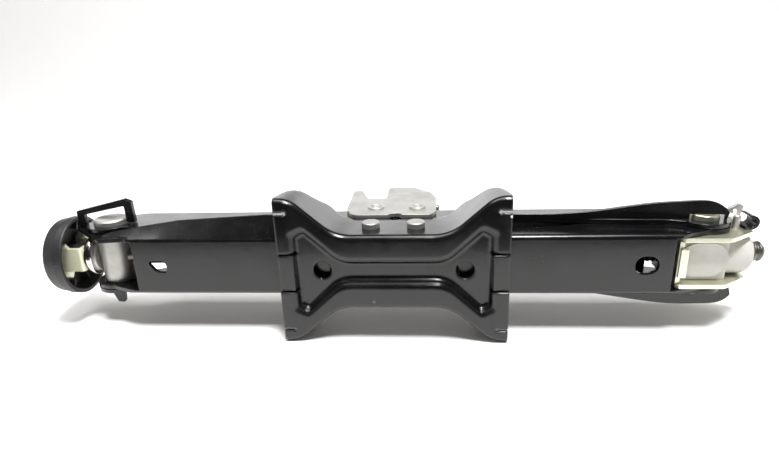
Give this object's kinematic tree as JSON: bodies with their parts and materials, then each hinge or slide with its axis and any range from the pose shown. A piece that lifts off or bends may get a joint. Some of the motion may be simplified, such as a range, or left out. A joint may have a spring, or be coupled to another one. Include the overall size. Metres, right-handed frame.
{
  "type": "scissor car jack",
  "caption": "Folding scissor jack: four geared channel arms on a waisted base, a slotted saddle and a long cross screw turned by a black hand knob.",
  "frame": {"origin": "centre of the base's underside, folded jack standing on its base", "axes": "+Z is the lifting direction; +X runs along the screw from the knob to the nut; +Y completes the right-handed frame, along the pivots"},
  "size_m": [0.434, 0.0888, 0.1],
  "materials": {
    "black_paint": "glossy black stoving enamel",
    "zinc": "matte zinc plating",
    "yellow_zinc": "yellow chromate zinc plating",
    "bright_steel": "bright turned steel",
    "screw_steel": "oiled rolled steel",
    "black_plastic": "semi-matte moulded plastic",
    "white_nylon": "white nylon"
  },
  "bodies": {
    "base": {"base_channel": "black_paint", "base_pin_left": "zinc", "base_pin_right": "zinc"},
    "lower_left": {"lower_arm_left": "black_paint", "tool_loop": "black_paint"},
    "lower_right": {"lower_arm_right": "black_paint"},
    "upper_left": {"upper_arm_left": "black_paint", "rest_foot": "black_paint"},
    "upper_right": {"upper_arm_right": "black_paint"},
    "saddle_head": {"saddle": "zinc", "saddle_pin_left": "zinc", "saddle_pin_right": "zinc", "saddle_spacer": "yellow_zinc"},
    "left_pivot": {"barrel_pivot": "zinc"},
    "screw_set": {"drive_screw": "screw_steel", "thrust_washer": "zinc", "thrust_collar": "bright_steel", "drive_yoke": "yellow_zinc", "hand_knob": "black_plastic"},
    "nut_carrier": {"nut_bracket": "yellow_zinc", "nut_block": "white_nylon", "pivot_tube_near": "yellow_zinc", "pivot_tube_far": "yellow_zinc", "wrench_clip": "zinc", "clip_rivet": "zinc", "wrench_curl": "black_paint"}
  },
  "joints": [
    {"name": "lower_left_hinge", "type": "hinge", "parent": "base", "child": "lower_left", "pos_m": [-0.0132, 0, 0.0165], "axis": [0, 1, 0], "range_deg": [0, 50]},
    {"name": "lower_right_hinge", "type": "hinge", "parent": "base", "child": "lower_right", "pos_m": [0.0132, 0, 0.0165], "axis": [0, 1, 0], "range_deg": [-50, 0]},
    {"name": "upper_left_hinge", "type": "hinge", "parent": "lower_left", "child": "upper_left", "pos_m": [-0.181, 0, 0.033], "axis": [0, 1, 0], "range_deg": [-100, 0]},
    {"name": "upper_right_hinge", "type": "hinge", "parent": "lower_right", "child": "upper_right", "pos_m": [0.181, 0, 0.033], "axis": [0, 1, 0], "range_deg": [0, 100]},
    {"name": "saddle_hinge", "type": "hinge", "parent": "upper_left", "child": "saddle_head", "pos_m": [-0.0132, 0, 0.0495], "axis": [0, 1, 0], "range_deg": [0, 50]},
    {"name": "left_pivot_hinge", "type": "hinge", "parent": "lower_left", "child": "left_pivot", "pos_m": [-0.181, 0, 0.033], "axis": [0, 1, 0], "range_deg": [-50, 0]},
    {"name": "screw_spin", "type": "hinge", "parent": "left_pivot", "child": "screw_set", "pos_m": [-0.181, 0, 0.033], "axis": [1, 0, 0], "continuous": true},
    {"name": "nut_hinge", "type": "hinge", "parent": "lower_right", "child": "nut_carrier", "pos_m": [0.181, 0, 0.033], "axis": [0, 1, 0], "range_deg": [0, 50]}
  ],
  "couplings": [
    {"joint": "lower_right_hinge", "follows": "lower_left_hinge", "ratio": -1},
    {"joint": "upper_left_hinge", "follows": "lower_left_hinge", "ratio": -2},
    {"joint": "upper_right_hinge", "follows": "lower_left_hinge", "ratio": 2},
    {"joint": "saddle_hinge", "follows": "lower_left_hinge", "ratio": 1},
    {"joint": "left_pivot_hinge", "follows": "lower_left_hinge", "ratio": -1},
    {"joint": "nut_hinge", "follows": "lower_left_hinge", "ratio": 1}
  ]
}
